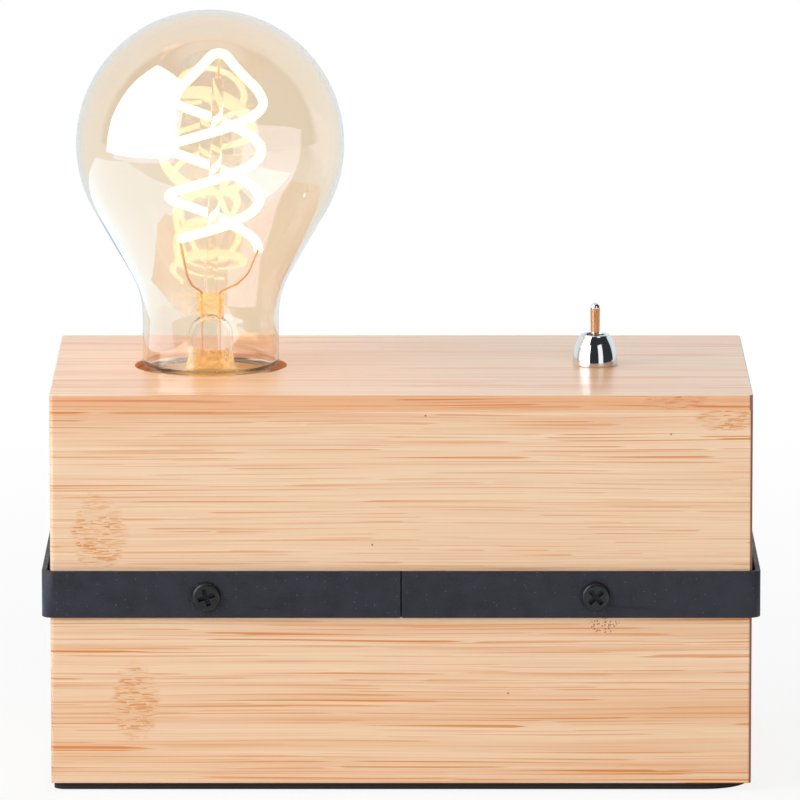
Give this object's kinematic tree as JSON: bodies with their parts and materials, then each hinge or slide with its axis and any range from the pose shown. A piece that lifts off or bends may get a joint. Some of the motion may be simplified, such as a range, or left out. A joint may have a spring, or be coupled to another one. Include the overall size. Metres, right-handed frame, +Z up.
{
  "type": "table lamp",
  "caption": "Low wooden box lamp with a bare screw-in globe bulb standing in its lid, a toggle switch beside it and a flat black metal strap screwed around the case.",
  "frame": {"origin": "middle of the case on the underside of the foot pad, on the table", "axes": "+X to the right seen from the front (towards the switch), +Y to the back (the cord inlet), +Z up"},
  "size_m": [0.1588, 0.0917, 0.1685],
  "materials": {
    "bamboo": "laminated bamboo, matt lacquer, straight fine grain",
    "softwood": "sawn softwood",
    "fibreboard": "hard fibreboard",
    "zinc_steel": "zinc plated steel",
    "foam_rubber": "black closed-cell foam",
    "black_coat": "black powder coat, fine texture, satin",
    "black_screw": "black oxide, slightly shiny",
    "tinted_glass": "clear glass with a light amber tint",
    "clear_glass": "clear glass",
    "lit_filament": "lit filament, warm white",
    "nickel_wire": "drawn nickel wire",
    "nickel_cap": "nickel plated sheet",
    "black_insulator": "black glass insulator",
    "solder": "dull solder",
    "black_moulding": "black moulding",
    "white_ceramic": "white porcelain",
    "brass": "plain brass sheet",
    "bright_chrome": "polished chrome plate",
    "blue_moulding": "blue moulding",
    "silver_contact": "silver plated contact",
    "white_nylon": "white nylon",
    "black_rubber": "black rubber",
    "blue_wire": "blue wire sleeve",
    "black_wire": "black wire sleeve",
    "brown_wire": "brown wire sleeve"
  },
  "bodies": {
    "case": {"top_board": "bamboo", "front_board": "bamboo", "back_board": "bamboo", "left_board": "bamboo", "right_board": "bamboo", "corner_blocks": "softwood", "floor_board": "fibreboard", "floor_screws": "zinc_steel", "foot_pad": "foam_rubber", "strap": "black_coat", "strap_screws": "black_screw", "holder_body": "black_moulding", "holder_insert": "white_ceramic", "holder_shell": "brass", "holder_contact": "brass", "holder_posts": "brass", "holder_bridge": "zinc_steel", "bridge_screws": "zinc_steel", "holder_nipple": "zinc_steel", "nipple_nut": "zinc_steel", "switch_dome": "bright_chrome", "switch_bushing": "bright_chrome", "switch_pin": "zinc_steel", "switch_washer": "zinc_steel", "switch_frame": "zinc_steel", "switch_body": "blue_moulding", "switch_terminals": "silver_contact", "cord_gland": "black_rubber", "gland_ring": "black_moulding", "connector_block": "white_nylon", "connector_grubs": "zinc_steel", "connector_screw": "zinc_steel", "neutral_lead": "blue_wire", "switched_lead": "black_wire", "live_lead": "brown_wire"},
    "lever": {"switch_lever": "bright_chrome", "switch_plunger": "white_nylon"},
    "rocker": {"switch_rocker": "silver_contact"},
    "button": {"bulb_button": "solder"},
    "bulb": {"bulb_glass": "tinted_glass", "bulb_stem": "clear_glass", "bulb_filament": "lit_filament", "bulb_leads": "nickel_wire", "bulb_hook": "nickel_wire", "bulb_cap": "nickel_cap", "bulb_insulator": "black_insulator"}
  },
  "joints": [
    {"name": "toggle", "type": "hinge", "parent": "case", "child": "lever", "pos_m": [0.0435, 0, 0.0905], "axis": [1, 0, 0], "range_deg": [-24, 0]},
    {"name": "rocking", "type": "hinge", "parent": "case", "child": "rocker", "pos_m": [0.0435, 0, 0.0776], "axis": [1, 0, 0], "range_deg": [0, 20]},
    {"name": "bulb_rise", "type": "slide", "parent": "case", "child": "button", "axis": [0, 0, 1], "range_m": [0, 0.01633]},
    {"name": "bulb_turn", "type": "hinge", "parent": "button", "child": "bulb", "pos_m": [-0.0427, 0, 0.0735], "axis": [0, 0, 1], "range_deg": [0, 1620]}
  ],
  "couplings": [
    {"joint": "rocking", "follows": "toggle", "ratio": -0.8333},
    {"joint": "bulb_rise", "follows": "bulb_turn", "m_per_rad": 0.00057757}
  ]
}
